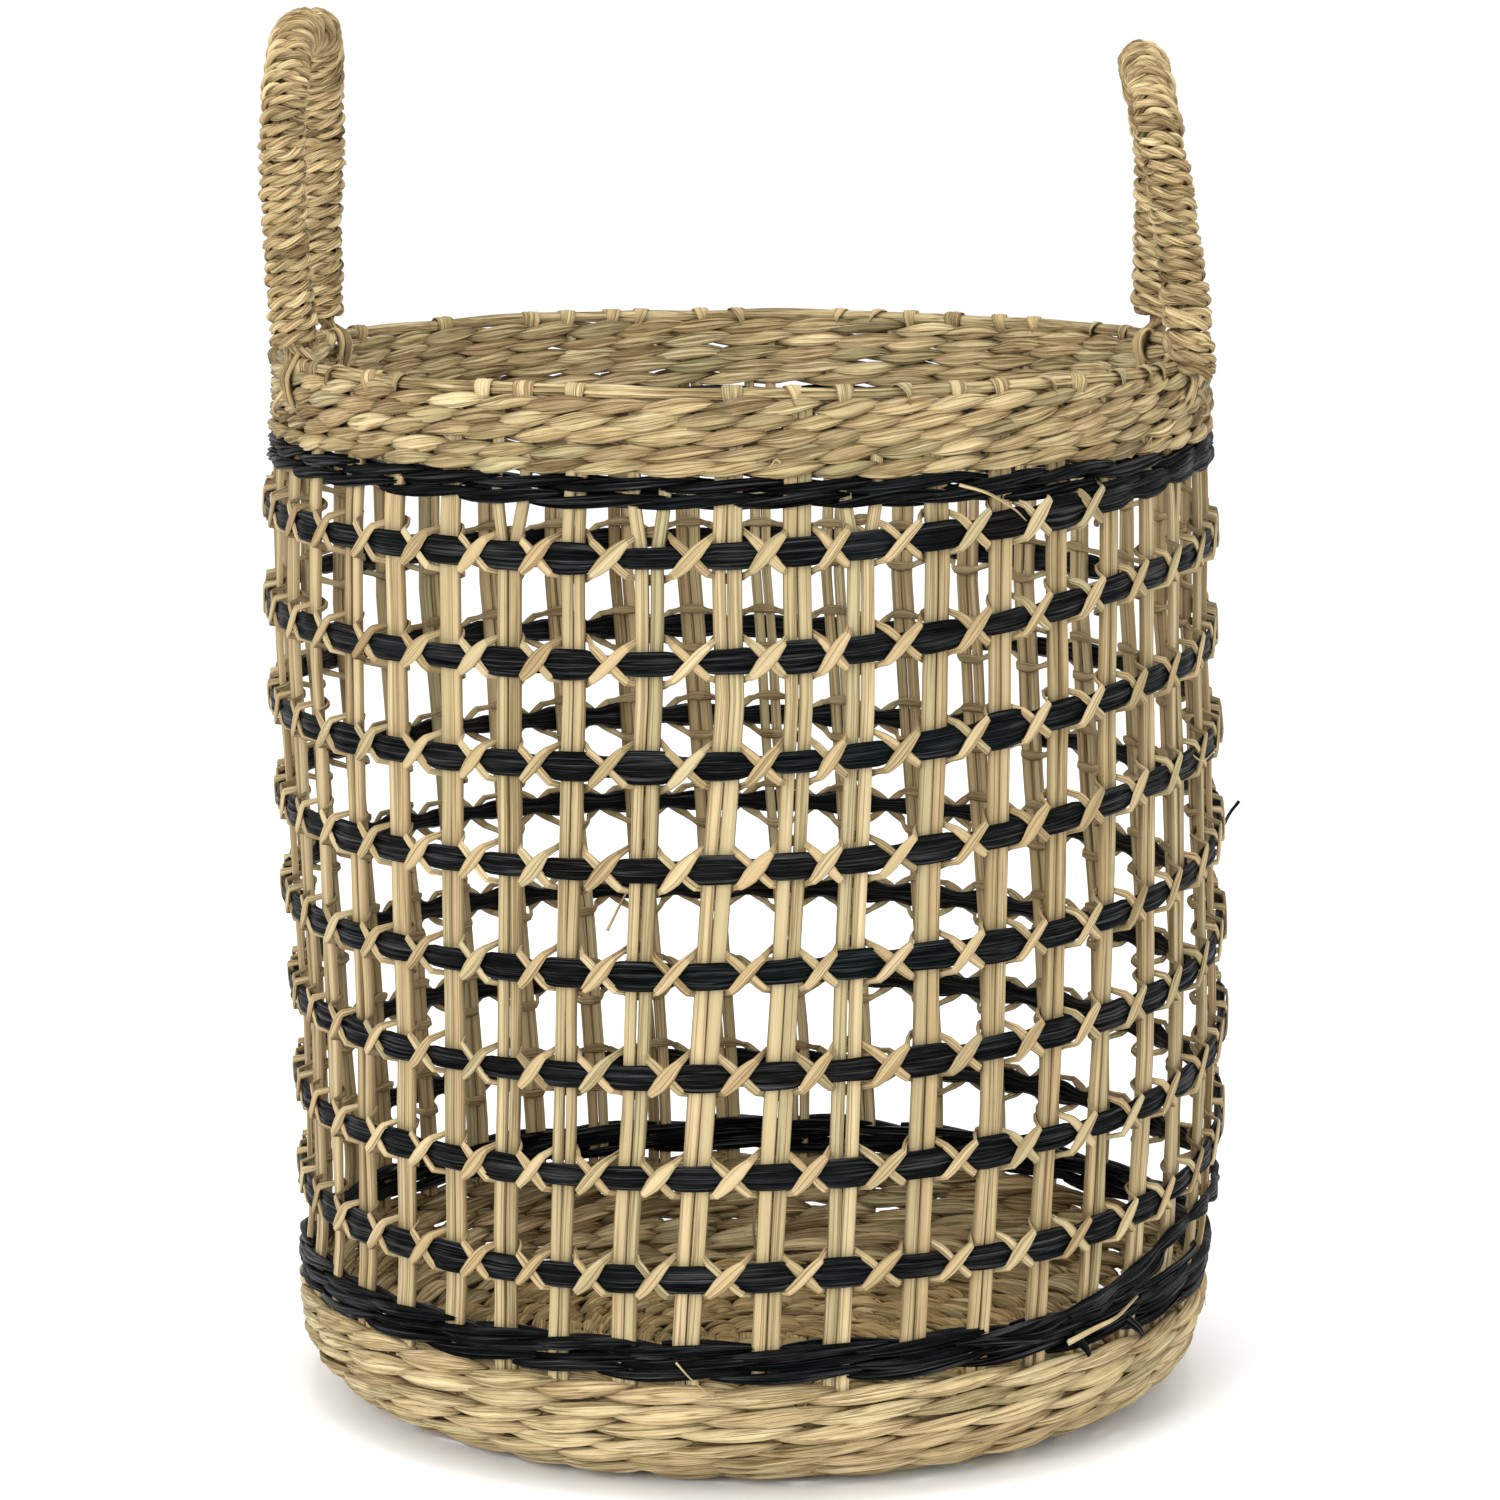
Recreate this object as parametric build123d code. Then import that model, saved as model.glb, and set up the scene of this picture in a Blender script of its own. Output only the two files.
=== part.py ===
from build123d import *
import os
from math import acos, atan2, ceil, cos, degrees, hypot, pi, radians, sin, sqrt, tan

# Seagrass storage basket with an openwork wall and two upright rope-wrapped handles.
# Millimetres. Z is up, the origin is the centre of the base on the floor, the front
# faces -Y and the handles stand at +X and -X. Angles round the wall are measured from
# the front, and grow towards +X.

# ---------------------------------------------------------------- driving dimensions
RIM_TOP = 398.0            # floor to the top of the rim rod
BELLY_RADIUS = 175.4       # middle of the stakes at the widest level
BELLY_HEIGHT = 265.0
BELLY_CURVE = 112.0        # the larger, the straighter the wall
STAKE_PAIRS = 40
FRONT_CROWDING = 0.08      # the stakes stand closer together at the front than at the back

STAKE_WIDTH = 10.0
STAKE_THICKNESS = 2.5
STAKE_CLEARANCE = 0.3      # gap left round a stake where it passes through the weave
LONG_STAKE_START = 36.0    # distance from the centre where the long stakes begin
SHORT_STAKE_START = 74.0   # the short stakes are added further out

FLOOR_THICKNESS = 8.0
FLOOR_INNER = 34.0         # edge of the starting patch
FLOOR_OUTER = 134.0
CORNER_RADIUS = 38.0
FLOOR_ROWS = 12
FOOT_TOP = 44.0
WEAVE_HALF = 3.7           # half the thickness of a woven row at its fullest
WEAVE_WAIST = 2.6          # half the thickness between two rows

LOWER_BLACK_TOP = 59.5
UPPER_BLACK_BOTTOM = 357.5
UPPER_BLACK_TOP = 369.5
RIM_WEAVE_TOP = 391.4

STRAND_HEIGHT = 11.0       # black strand of the openwork
STRAND_THICKNESS = 2.5
STRAND_GAP = 0.3
OPENWORK_PITCH = 36.7
OPENWORK_TURNS = 8
OPENWORK_RISE_BACK = 8.5   # the turns stand higher behind than in front, by twice this
OPENWORK_RISE_RIGHT = 3.5  # and higher on the right than on the left
OPENWORK_START = 99.0      # angle at which the strand clears the lower black band
OPENWORK_SHORTFALL = 63.0  # the last turn meets the upper black band this much early
FRONT_HEIGHT = 84.6        # height of the lowest turn at the front

LASH_HEIGHT = 3.2
LASH_THICKNESS = 0.8
LASH_RISE = 9.6            # a lashing passes this far above or below the strand's middle
LASH_REACH = LASH_RISE + LASH_HEIGHT / 2 + 0.3

ROD_RADIUS = 2.1
ROD_HEIGHT = RIM_TOP - ROD_RADIUS
BINDING_WIDTH = 6.0
BINDING_THICKNESS = 0.9

HANDLE_X = 164.5
LEG_SPACING = 135.0
HINGE_RISE = 7.6           # height of the handle's hinge axis above the middle of the rod
HANDLE_TOP = 524.0
RIGHT_HANDLE_TOP = 513.0   # before the handle leans
HANDLE_CORNER = 42.0       # radius of the handle's middle line at its two top corners
CORE_RADIUS = 5.3
NECK_RADIUS = 3.0
KNUCKLE_RADIUS = 4.2
KNUCKLE_LENGTH = 12.6
WRAP_RADIUS = 8.5
WRAP_CORD = 5.4            # width of one turn of the wrapping cord
WRAP_PITCH = 6.3
WRAP_START = 7.0           # height of the first turn above the hinge axis
RIGHT_HANDLE_LEAN = 8.5    # the right handle leans in over the basket, in degrees

BELT_GAP = 0.35            # running clearance of the knuckle in its lashing
BELT_THICKNESS = 1.3
BELT_WIDTH = 2.6
ROD_PLAY = 0.8             # slack of the lashing round the rim rod
TAIL_LENGTH = 26.0
TAIL_WIDTH = 11.0
TAIL_THICKNESS = 1.2

PARTS = "parts"


# ---------------------------------------------------------------- shared geometry
def wall_radius(height):
    """Distance from the axis to the middle of the stakes at this height."""
    return BELLY_RADIUS - ((height - BELLY_HEIGHT) / BELLY_CURVE) ** 2


def stake_angle(number):
    """Angle of a stake pair, crowded a little towards the front."""
    even = radians((number + 0.5) * 360 / STAKE_PAIRS)
    return even - FRONT_CROWDING * sin(even)


def gap_angle(number):
    """Angle half way between a stake pair and the one before it."""
    return (stake_angle(number - 1) + stake_angle(number)) / 2


def half_gap(number):
    """Half the angle between a stake pair and the one before it."""
    return (stake_angle(number) - stake_angle(number - 1)) / 2


def around(angle, out, height):
    """Point at a distance out from the axis, at an angle from the front."""
    return Vector(out * sin(angle), -out * cos(angle), height)


def stake_line():
    """Middle line of a stake as (radius, height): floor, rounded corner, then wall."""
    middle = FLOOR_THICKNESS / 2
    corner_height = middle + CORNER_RADIUS
    centre = wall_radius(corner_height) - CORNER_RADIUS
    points = [(centre, middle)]
    for step in range(1, 6):
        turn = radians(18 * step)
        points.append((centre + CORNER_RADIUS * sin(turn), corner_height - CORNER_RADIUS * cos(turn)))
    wall_steps = 7
    top = RIM_WEAVE_TOP + 0.2
    for step in range(1, wall_steps + 1):
        height = corner_height + (top - corner_height) * step / wall_steps
        points.append((wall_radius(height), height))
    return points


def offset_line(line, distance):
    """Line moved sideways by a distance, mitred at its corners; positive is outwards."""
    moved = []
    for index, (radius, height) in enumerate(line):
        before = line[max(index - 1, 0)]
        after = line[min(index + 1, len(line) - 1)]
        here = (radius, height)
        legs = [(a, b) for a, b in ((before, here), (here, after)) if a != b]
        normals = []
        for a, b in legs:
            length = hypot(b[0] - a[0], b[1] - a[1])
            normals.append(((b[1] - a[1]) / length, -(b[0] - a[0]) / length))
        across = sum(n[0] for n in normals) / len(normals)
        up = sum(n[1] for n in normals) / len(normals)
        stretch = distance / (across ** 2 + up ** 2)
        moved.append((radius + across * stretch, height + up * stretch))
    return moved


def strap(line, width, thickness):
    """Flat strap along a line in the radius and height plane, standing at the front."""
    outline = offset_line(line, thickness / 2) + offset_line(line, -thickness / 2)[::-1]
    face = make_face(Polyline([(0, -radius, height) for radius, height in outline], close=True))
    return extrude(face, amount=width / 2, dir=(1, 0, 0), both=True)


def turned(shape, angle):
    return Rot(0, 0, degrees(angle)) * shape


def faceted_ring(section):
    """Ring with one flat facet at each stake; section lists (distance, height) points."""
    stations = []
    for number in range(STAKE_PAIRS):
        spread = cos(half_gap(number))
        stations.append([around(gap_angle(number), out / spread, height) for out, height in section])
    faces = []
    for number in range(STAKE_PAIRS):
        here, there = stations[number], stations[(number + 1) % STAKE_PAIRS]
        for corner in range(len(section)):
            following = (corner + 1) % len(section)
            quad = [here[corner], here[following], there[following], there[corner]]
            faces.append(Face(Wire.make_polygon(quad)))
    return Solid(Shell(faces))


def ribbon(stations):
    """Strap of upright cross-sections: each station is in-low, out-low, out-high, in-high."""
    faces = [Face(Wire.make_polygon(stations[0])), Face(Wire.make_polygon(stations[-1]))]
    for here, there in zip(stations, stations[1:]):
        for low, high in ((0, 3), (1, 2)):
            faces.append(Face(Wire.make_polygon([here[low], there[low], there[high], here[high]])))
        parallel = (here[1] - here[0]).cross(there[1] - there[0]).length < 1e-6
        for near, far in ((0, 1), (3, 2)):
            if parallel:
                faces.append(Face(Wire.make_polygon([here[near], here[far], there[far], there[near]])))
            else:
                faces.append(Face(Wire.make_polygon([here[near], here[far], there[far]])))
                faces.append(Face(Wire.make_polygon([here[near], there[far], there[near]])))
    return Solid(Shell(faces))


def row_section(levels, waist, full):
    """Outline of stacked rows on the wall: a ridge outside at each row, smooth inside."""
    outer = []
    for low, high in zip(levels, levels[1:]):
        middle = (low + high) / 2
        outer += [(wall_radius(low) + waist, low), (wall_radius(middle) + full, middle)]
    outer.append((wall_radius(levels[-1]) + waist, levels[-1]))
    inner = [(wall_radius(level) - full, level) for level in (levels[0], levels[-1])]
    return outer + inner[::-1]


def even_levels(low, high, rows):
    return [low + (high - low) * step / rows for step in range(rows + 1)]


# ---------------------------------------------------------------- stakes
def stake(start):
    """One stake pair: in along the floor, round the corner and up the wall."""
    return strap([(start, FLOOR_THICKNESS / 2)] + stake_line(), STAKE_WIDTH, STAKE_THICKNESS)


def stakes(start, first):
    """Every second stake pair round the basket."""
    shape = stake(start)
    return [turned(shape, stake_angle(number)) for number in range(first, STAKE_PAIRS, 2)]


def stake_slots(line):
    """Space that the stakes need along this part of their line."""
    slot = strap(line, STAKE_WIDTH + 2 * STAKE_CLEARANCE, STAKE_THICKNESS + 2 * STAKE_CLEARANCE)
    return [turned(slot, stake_angle(number)) for number in range(STAKE_PAIRS)]


# ---------------------------------------------------------------- woven bands
def floor_start_patch():
    """Round patch of crossed strips, in two layers, that the floor is started from."""
    strip = 8.6
    layer = 2.4
    reach = FLOOR_INNER - 0.8
    solids = []
    for step in range(-3, 4):
        shift = step * (strip + 0.5)
        length = 2 * sqrt(reach ** 2 - (abs(shift) + strip / 2) ** 2)
        solids.append(Pos(shift, 0, FLOOR_THICKNESS / 2 - layer / 2 - 0.1) * Box(strip, length, layer))
        solids.append(Pos(0, shift, FLOOR_THICKNESS / 2 + layer / 2 + 0.1) * Box(length, strip, layer))
    return solids


def floor_weave():
    """Rows of weft round the floor, flat below and ridged above."""
    row = (FLOOR_OUTER - FLOOR_INNER) / FLOOR_ROWS
    top = []
    for number in range(FLOOR_ROWS):
        start = FLOOR_INNER + number * row
        top += [(start, FLOOR_THICKNESS - 1.2), (start + row / 2, FLOOR_THICKNESS)]
    top.append((FLOOR_OUTER, FLOOR_THICKNESS - 1.2))
    ring = faceted_ring([(FLOOR_INNER, 0), (FLOOR_OUTER, 0)] + top[::-1])
    line = [(FLOOR_INNER - 5, FLOOR_THICKNESS / 2), (FLOOR_OUTER + 5, FLOOR_THICKNESS / 2)]
    return ring - stake_slots(line)


def foot_weave():
    """Rows of weft that turn up round the corner of the base."""
    middle = FLOOR_THICKNESS / 2
    corner_height = middle + CORNER_RADIUS
    centre = wall_radius(corner_height) - CORNER_RADIUS
    half = FLOOR_THICKNESS / 2
    rows = 7
    outer = [(FLOOR_OUTER, 0.0)]
    inner = [(FLOOR_OUTER, FLOOR_THICKNESS - 1.2)]
    for step in range(1, 2 * rows):
        turn = radians(45 * step / rows)
        outside = CORNER_RADIUS + half - (0.0 if step % 2 else 1.0)
        outer.append((centre + outside * sin(turn), corner_height - outside * cos(turn)))
        if step % 2:
            inside = CORNER_RADIUS - half
            inner.append((centre + inside * sin(turn), corner_height - inside * cos(turn)))
    outer.append((wall_radius(FOOT_TOP) + WEAVE_WAIST, FOOT_TOP))
    inner.append((wall_radius(FOOT_TOP) - WEAVE_HALF, FOOT_TOP))
    return faceted_ring(outer + inner[::-1]) - stake_slots([(FLOOR_OUTER - 5, middle)] + stake_line())


def wall_band(low, high, rows, full=WEAVE_HALF):
    """Band of rows woven round the stakes between two heights."""
    ring = faceted_ring(row_section(even_levels(low, high, rows), WEAVE_WAIST, full))
    line = [(wall_radius(height), height) for height in even_levels(low - 3, high + 3, 4)]
    return ring - stake_slots(line)


# ---------------------------------------------------------------- openwork
def openwork_height(angle):
    """Height of the black strand's middle; the angle runs on over all the turns."""
    height = FRONT_HEIGHT + OPENWORK_PITCH * degrees(angle) / 360
    height += OPENWORK_RISE_BACK * (1 - cos(angle)) + OPENWORK_RISE_RIGHT * sin(angle)
    return min(max(height, LOWER_BLACK_TOP + LASH_REACH), UPPER_BLACK_BOTTOM - LASH_REACH)


def openwork_gaps(turn):
    """Numbers of the gaps between stakes that one turn of the openwork runs through."""
    first = ceil(OPENWORK_START / 360 * STAKE_PAIRS) + (turn - 2) * STAKE_PAIRS
    missing = round(OPENWORK_SHORTFALL / 360 * STAKE_PAIRS) if turn == OPENWORK_TURNS else 0
    return range(first, first + STAKE_PAIRS - missing + 1)


def openwork_strand(turn):
    """One turn of the flat black strand that lies against the outside of the stakes."""
    stations = []
    for number in openwork_gaps(turn):
        angle = gap_angle(number)
        height = openwork_height(angle)
        inside = wall_radius(height) + STAKE_THICKNESS / 2 + STRAND_GAP
        spread = cos(half_gap(number))
        low, high = height - STRAND_HEIGHT / 2, height + STRAND_HEIGHT / 2
        stations.append([around(angle, (inside + side) / spread, level) for side, level in (
            (0, low), (STRAND_THICKNESS, low), (STRAND_THICKNESS, high), (0, high))])
    return ribbon(stations)


def lashing_stations(turn, side):
    """Cross-sections of one lashing: behind each stake, then out and across each gap."""
    behind = -STAKE_THICKNESS / 2 - STAKE_CLEARANCE - LASH_THICKNESS
    front = STAKE_THICKNESS / 2 + STRAND_GAP + STRAND_THICKNESS + 0.2
    if side > 0:
        front += LASH_THICKNESS + 0.15
    edge = radians(2.0)
    corner = radians(3.0)
    stations = []
    for number in list(openwork_gaps(turn))[:-1]:
        this_side = side if number % 2 else -side
        half = half_gap(number + 1)
        middle = gap_angle(number + 1)
        across = around(middle, LASH_THICKNESS, 0)
        steps = ((-half + edge, behind, LASH_RISE), (-half + corner, front, LASH_RISE - 1.6),
                 (half - corner, front, 1.6 - LASH_RISE), (half - edge, behind, -LASH_RISE))
        for shift, out, rise in steps:
            angle = middle + shift
            strand_height = openwork_height(angle)
            height = strand_height + this_side * rise
            low, high = height - LASH_HEIGHT / 2, height + LASH_HEIGHT / 2
            if out > 0:
                near = (wall_radius(strand_height) + out) / cos(half)
            else:
                near = wall_radius(height) + out
            under, over = around(angle, near, low), around(angle, near, high)
            stations.append([under, under + across, over + across, over])
    return stations


def openwork_lashing(turn):
    """The two thin strips that tie one turn of the black strand to every stake."""
    return [ribbon(lashing_stations(turn, side)) for side in (1, -1)]


# ---------------------------------------------------------------- rim
def rim_rod():
    """Hoop that stiffens the rim, lying on the ends of the stakes."""
    radius = wall_radius(ROD_HEIGHT)
    section = []
    for step in range(8):
        turn = radians(22.5 + 45 * step)
        section.append((radius + ROD_RADIUS * cos(turn), ROD_HEIGHT + ROD_RADIUS * sin(turn)))
    return faceted_ring(section)


def rim_bindings():
    """Short strip ends folded over the rod, one at each stake pair."""
    inside = ROD_RADIUS + 0.15
    outside = inside + BINDING_THICKNESS
    blank = Box(BINDING_WIDTH, 2 * outside, 2 * outside) - Box(BINDING_WIDTH + 1, 2 * inside, 2 * inside)
    loop = Pos(0, -wall_radius(ROD_HEIGHT), ROD_HEIGHT) * blank
    return [turned(loop, stake_angle(number)) for number in range(STAKE_PAIRS)]


# ---------------------------------------------------------------- handles
def hinge_height():
    return ROD_HEIGHT + HINGE_RISE


def handle_rise(side):
    """Height of the handle's middle line above the hinge."""
    return (RIGHT_HANDLE_TOP if side > 0 else HANDLE_TOP) - WRAP_RADIUS - hinge_height()


def handle_point(distance, top):
    """Point and direction on the handle's middle line, at a distance from the front foot."""
    half = LEG_SPACING / 2
    shoulder = top - HANDLE_CORNER
    flat = half - HANDLE_CORNER
    bend = HANDLE_CORNER * pi / 2
    if distance < shoulder:
        return (-half, distance), 90.0
    distance -= shoulder
    if distance < bend:
        turn = distance / HANDLE_CORNER
        return (-flat - HANDLE_CORNER * cos(turn), shoulder + HANDLE_CORNER * sin(turn)), 90 - degrees(turn)
    distance -= bend
    if distance < 2 * flat:
        return (-flat + distance, top), 0.0
    distance -= 2 * flat
    if distance < bend:
        turn = distance / HANDLE_CORNER
        return (flat + HANDLE_CORNER * sin(turn), shoulder + HANDLE_CORNER * cos(turn)), -degrees(turn)
    distance -= bend
    return (half, shoulder - distance), -90.0


def handle_length(top):
    half = LEG_SPACING / 2
    return 2 * (top - HANDLE_CORNER) + pi * HANDLE_CORNER + 2 * (half - HANDLE_CORNER)


def handle_core(top):
    """Bundle of straw bent into a loop, with a rounded knuckle under each leg."""
    half = LEG_SPACING / 2
    shoulder = top - HANDLE_CORNER
    neck = WRAP_START - 0.5
    core = Cylinder(CORE_RADIUS, 2 * (half - HANDLE_CORNER), rotation=(90, 0, 0))
    solid = Pos(0, 0, top) * core
    for side in (-1, 1):
        leg = Pos(0, side * half, (neck + shoulder) / 2) * Cylinder(CORE_RADIUS, shoulder - neck)
        stem = Pos(0, side * half, neck / 2) * Cylinder(NECK_RADIUS, neck)
        knuckle = Pos(0, side * half, 0) * Cylinder(KNUCKLE_RADIUS, KNUCKLE_LENGTH, rotation=(90, 0, 0))
        bend = Rot(0, 90, 0) * Torus(HANDLE_CORNER, CORE_RADIUS)
        keep = Pos(0, side * HANDLE_CORNER, HANDLE_CORNER) * Box(40, 2 * HANDLE_CORNER, 2 * HANDLE_CORNER)
        corner = Pos(0, side * (half - HANDLE_CORNER), shoulder) * (bend & keep)
        solid = solid + [leg, stem, knuckle, corner]
    return solid


def handle_wrap(top):
    """Cord wound round the core, one ring for each turn."""
    length = handle_length(top)
    turns = int((length - 2 * WRAP_START) / WRAP_PITCH)
    first = (length - turns * WRAP_PITCH) / 2 + WRAP_PITCH / 2
    ring = Cylinder(WRAP_RADIUS, WRAP_CORD) - Cylinder(CORE_RADIUS + 0.15, WRAP_CORD + 1)
    ring = chamfer(ring.edges().filter_by(GeomType.CIRCLE).group_by(SortBy.RADIUS)[-1], 1.2)
    solids = []
    for number in range(turns):
        (across, up), heading = handle_point(first + number * WRAP_PITCH, top)
        solids.append(Pos(0, across, up) * Rot(heading - 90, 0, 0) * ring)
    return solids


def stand_handle(solids, side):
    """Place handle pieces on the rim at the left (-1) or the right (1)."""
    lean = -RIGHT_HANDLE_LEAN if side > 0 else 0.0
    place = Pos(side * HANDLE_X, 0, hinge_height()) * Rot(0, lean, 0)
    return [place * solid for solid in solids]


def loop_face(rod_x, rod_radius, knuckle_radius):
    """Outline that goes round the rod and the knuckle together, in the XZ plane."""
    rod = (rod_x, ROD_HEIGHT)
    knuckle = (HANDLE_X, hinge_height())
    run = hypot(knuckle[0] - rod[0], knuckle[1] - rod[1])
    heading = atan2(knuckle[1] - rod[1], knuckle[0] - rod[0])
    spread = acos((rod_radius - knuckle_radius) / run)
    points = []
    for centre, radius, start, stop in (
            (rod, rod_radius, heading + spread, heading + 2 * pi - spread),
            (knuckle, knuckle_radius, heading - spread, heading + spread)):
        for step in range(9):
            turn = start + (stop - start) * step / 8
            points.append((centre[0] + radius * cos(turn), 0, centre[1] + radius * sin(turn)))
    return make_face(Polyline(points, close=True))


def handle_lashing(side, end):
    """Ties one leg to the rod: two loops round rod and knuckle, and a tail down outside."""
    leg_y = end * LEG_SPACING / 2
    solid = None
    for flank in (-1, 1):
        loop_y = leg_y + flank * (NECK_RADIUS + 0.4 + BELT_WIDTH / 2)
        rod_x = sqrt(wall_radius(ROD_HEIGHT) ** 2 - loop_y ** 2)
        hole = loop_face(rod_x, ROD_RADIUS + ROD_PLAY, (KNUCKLE_RADIUS + BELT_GAP) / cos(pi / 16))
        rim = loop_face(rod_x, ROD_RADIUS + ROD_PLAY + BELT_THICKNESS,
                        KNUCKLE_RADIUS + BELT_GAP + BELT_THICKNESS + 0.2)
        band = extrude(rim - hole, amount=BELT_WIDTH / 2, dir=(0, 1, 0), both=True)
        band = Pos(0, loop_y, 0) * band
        solid = band if solid is None else solid + band
    angle = atan2(HANDLE_X, -leg_y)
    face_radius = wall_radius(RIM_WEAVE_TOP) + WEAVE_HALF + 0.8
    tail_top = hinge_height() - 5.0
    tail = Pos(0, -face_radius - TAIL_THICKNESS / 2, tail_top - TAIL_LENGTH / 2)
    tail = turned(tail * Box(TAIL_WIDTH, TAIL_THICKNESS, TAIL_LENGTH), angle)
    solid = solid + tail
    return solid if side > 0 else mirror(solid, Plane.YZ)


# ---------------------------------------------------------------- output
def write(name, shape):
    """Write one node; a list of shapes becomes one group of separate solids."""
    if isinstance(shape, (list, tuple)):
        shape = Compound(children=[solid for item in shape for solid in item.solids()])
    export_step(shape, f"{PARTS}/{name}.step")


def build():
    os.makedirs("parts", exist_ok=True)
    write("floor_start_patch", floor_start_patch())
    write("floor_weave", floor_weave())
    write("foot_weave", foot_weave())
    write("long_stakes", stakes(LONG_STAKE_START, 0))
    write("short_stakes", stakes(SHORT_STAKE_START, 1))
    write("lower_black_band", wall_band(FOOT_TOP, LOWER_BLACK_TOP, 2))
    for turn in range(1, OPENWORK_TURNS + 1):
        write(f"openwork_strand_{turn}", openwork_strand(turn))
        write(f"openwork_lashing_{turn}", openwork_lashing(turn))
    write("upper_black_band", wall_band(UPPER_BLACK_BOTTOM, UPPER_BLACK_TOP, 2, WEAVE_HALF - 0.5))
    write("rim_weave", wall_band(UPPER_BLACK_TOP, RIM_WEAVE_TOP, 5))
    write("rim_rod", rim_rod())
    write("rim_bindings", rim_bindings())
    for name, side in (("left", -1), ("right", 1)):
        write(f"{name}_handle_core", stand_handle([handle_core(handle_rise(side))], side))
        write(f"{name}_handle_wrap", stand_handle(handle_wrap(handle_rise(side)), side))
        for place, end in (("front", -1), ("back", 1)):
            write(f"{name}_{place}_lashing", handle_lashing(side, end))


build()
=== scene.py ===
"""Looks of a seagrass basket: every leaf strip, row of twining, tie and cord is its own mesh strip.

Sizes are in millimetres until a mesh is made, then metres. Angles are measured from the
front and grow towards +X, as in the CAD model.
"""

import math

import bpy
import numpy as np
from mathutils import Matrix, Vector


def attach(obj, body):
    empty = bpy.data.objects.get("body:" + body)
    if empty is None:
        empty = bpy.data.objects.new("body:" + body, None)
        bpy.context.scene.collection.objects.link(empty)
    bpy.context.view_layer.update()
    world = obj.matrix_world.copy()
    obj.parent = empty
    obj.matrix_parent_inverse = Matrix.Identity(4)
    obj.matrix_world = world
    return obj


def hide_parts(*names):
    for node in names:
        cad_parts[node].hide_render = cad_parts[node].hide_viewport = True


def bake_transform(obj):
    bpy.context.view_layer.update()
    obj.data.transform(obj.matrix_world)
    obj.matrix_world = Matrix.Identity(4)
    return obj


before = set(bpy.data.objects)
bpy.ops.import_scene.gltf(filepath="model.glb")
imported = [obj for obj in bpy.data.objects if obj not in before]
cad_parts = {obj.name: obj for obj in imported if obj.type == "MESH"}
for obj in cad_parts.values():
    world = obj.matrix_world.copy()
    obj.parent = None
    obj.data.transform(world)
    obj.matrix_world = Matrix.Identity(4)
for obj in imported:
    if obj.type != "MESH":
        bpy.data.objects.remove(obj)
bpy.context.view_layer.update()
rng = np.random.default_rng(831)

# ---------------------------------------------------------------- sizes shared with the CAD
STAKES = 40
CROWDING = 0.08            # the stakes stand closer together at the front than at the back
STAND = 262.0              # level at which the directions of the stakes are given
ROD_Z = 396.6
HINGE_Z = 403.5
HANDLE_X = 164.5
LEG_Y = 67.5
HANDLE_TOPS = {-1: 524.0, 1: 513.0}    # left and right, before the right one leans
HANDLE_CORNER = 42.0
WRAP_RADIUS = 8.5
RIGHT_LEAN = math.radians(8.5)
BELLY_RADIUS = 175.4
BELLY_HEIGHT = 265.0
BELLY_CURVE = 112.0
CORNER_RADIUS = 38.0
CORNER_Z = 42.0
FLOOR_EDGE = 133.0
FLOOR_MIDDLE = 4.0
PATCH_RADIUS = 34.0
TURNS = 8
PITCH = 36.7               # climb of the black strand in one turn
FRONT_HEIGHT = 84.6        # height of its lowest turn at the front
RISE_BACK = 8.5            # it stands higher behind than in front, by twice this
RISE_RIGHT = 3.5           # higher on the right than on the left
RISE_SIDES = 5.0           # and higher on both sides
FIRST_START = -29.5        # stakes, from the front, where it leaves the lower black band
SHORTFALL = 7              # stakes that the last turn leaves out

WALL = 175.0               # radius that turns a distance along the wall into an angle
WALL_FACE = 178.0          # the same for its outside

# ---------------------------------------------------------------- how this basket is crooked
RIM_DRAWN_IN = 1.9
NECK_HEIGHT = 345.0        # where the wall starts to draw in, and in how much it is done
NECK_SPAN = 40.0
LEAN = 1.6                 # degrees a stake leans in a climb of LEAN_HEIGHT, all round
LEAN_BACK = 1.45           # more towards the back
LEAN_FRONT = 3.0           # and more right at the front
LEAN_HEIGHT = 187.0
TURNED = 0.7               # degrees the wall is turned, all round
TURNED_BACK = 0.9          # and more towards the back
LEFT_SHIFT = 3.4           # how far the left handle stands out
RIGHT_SET = (-9.7, -7.0, -2.9, -4.1, 3.1, 2.7, 5.8, -0.4)   # each turn at the front right
FIRST_RISE = ((-325, -315, -308, -300, -290, -262, -235),   # degrees, where the strand leaves
              (55.5, 61.5, 69.0, 77.5, 80.0, 80.0, 79.8))   # the lower band, and its height
SWAY = ((0, 30, 50, 70, 150, 200, 255, 290, 400),           # height, and how far the middle
        (.5, .6, 1.5, 3.6, 3.6, 1.0, -1.2, -3.4, -3.4))     # of the wall lies towards +X
NUDGES = rng.normal(0, 0.35, STAKES + 1)
NUDGES[[36, 37, 38, 39, 40, 0, 1, 2, 3]] = (-0.3, -0.7, 0.1, 0.6, 0.5, 0.5, -0.7, 0.0, 0.2)


def ease(x):
    x = np.clip(x, 0, 1)
    return x * x * (3 - 2 * x)


def wall_radius(height):
    """Distance from the axis to the stakes; the rim is drawn in a little."""
    belly = BELLY_RADIUS - ((height - BELLY_HEIGHT) / BELLY_CURVE) ** 2
    return belly - RIM_DRAWN_IN * ease((height - NECK_HEIGHT) / NECK_SPAN)


def sway(height):
    """The soft wall stands a little crooked: how far its middle lies towards +X."""
    return np.interp(height, *SWAY)


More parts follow.
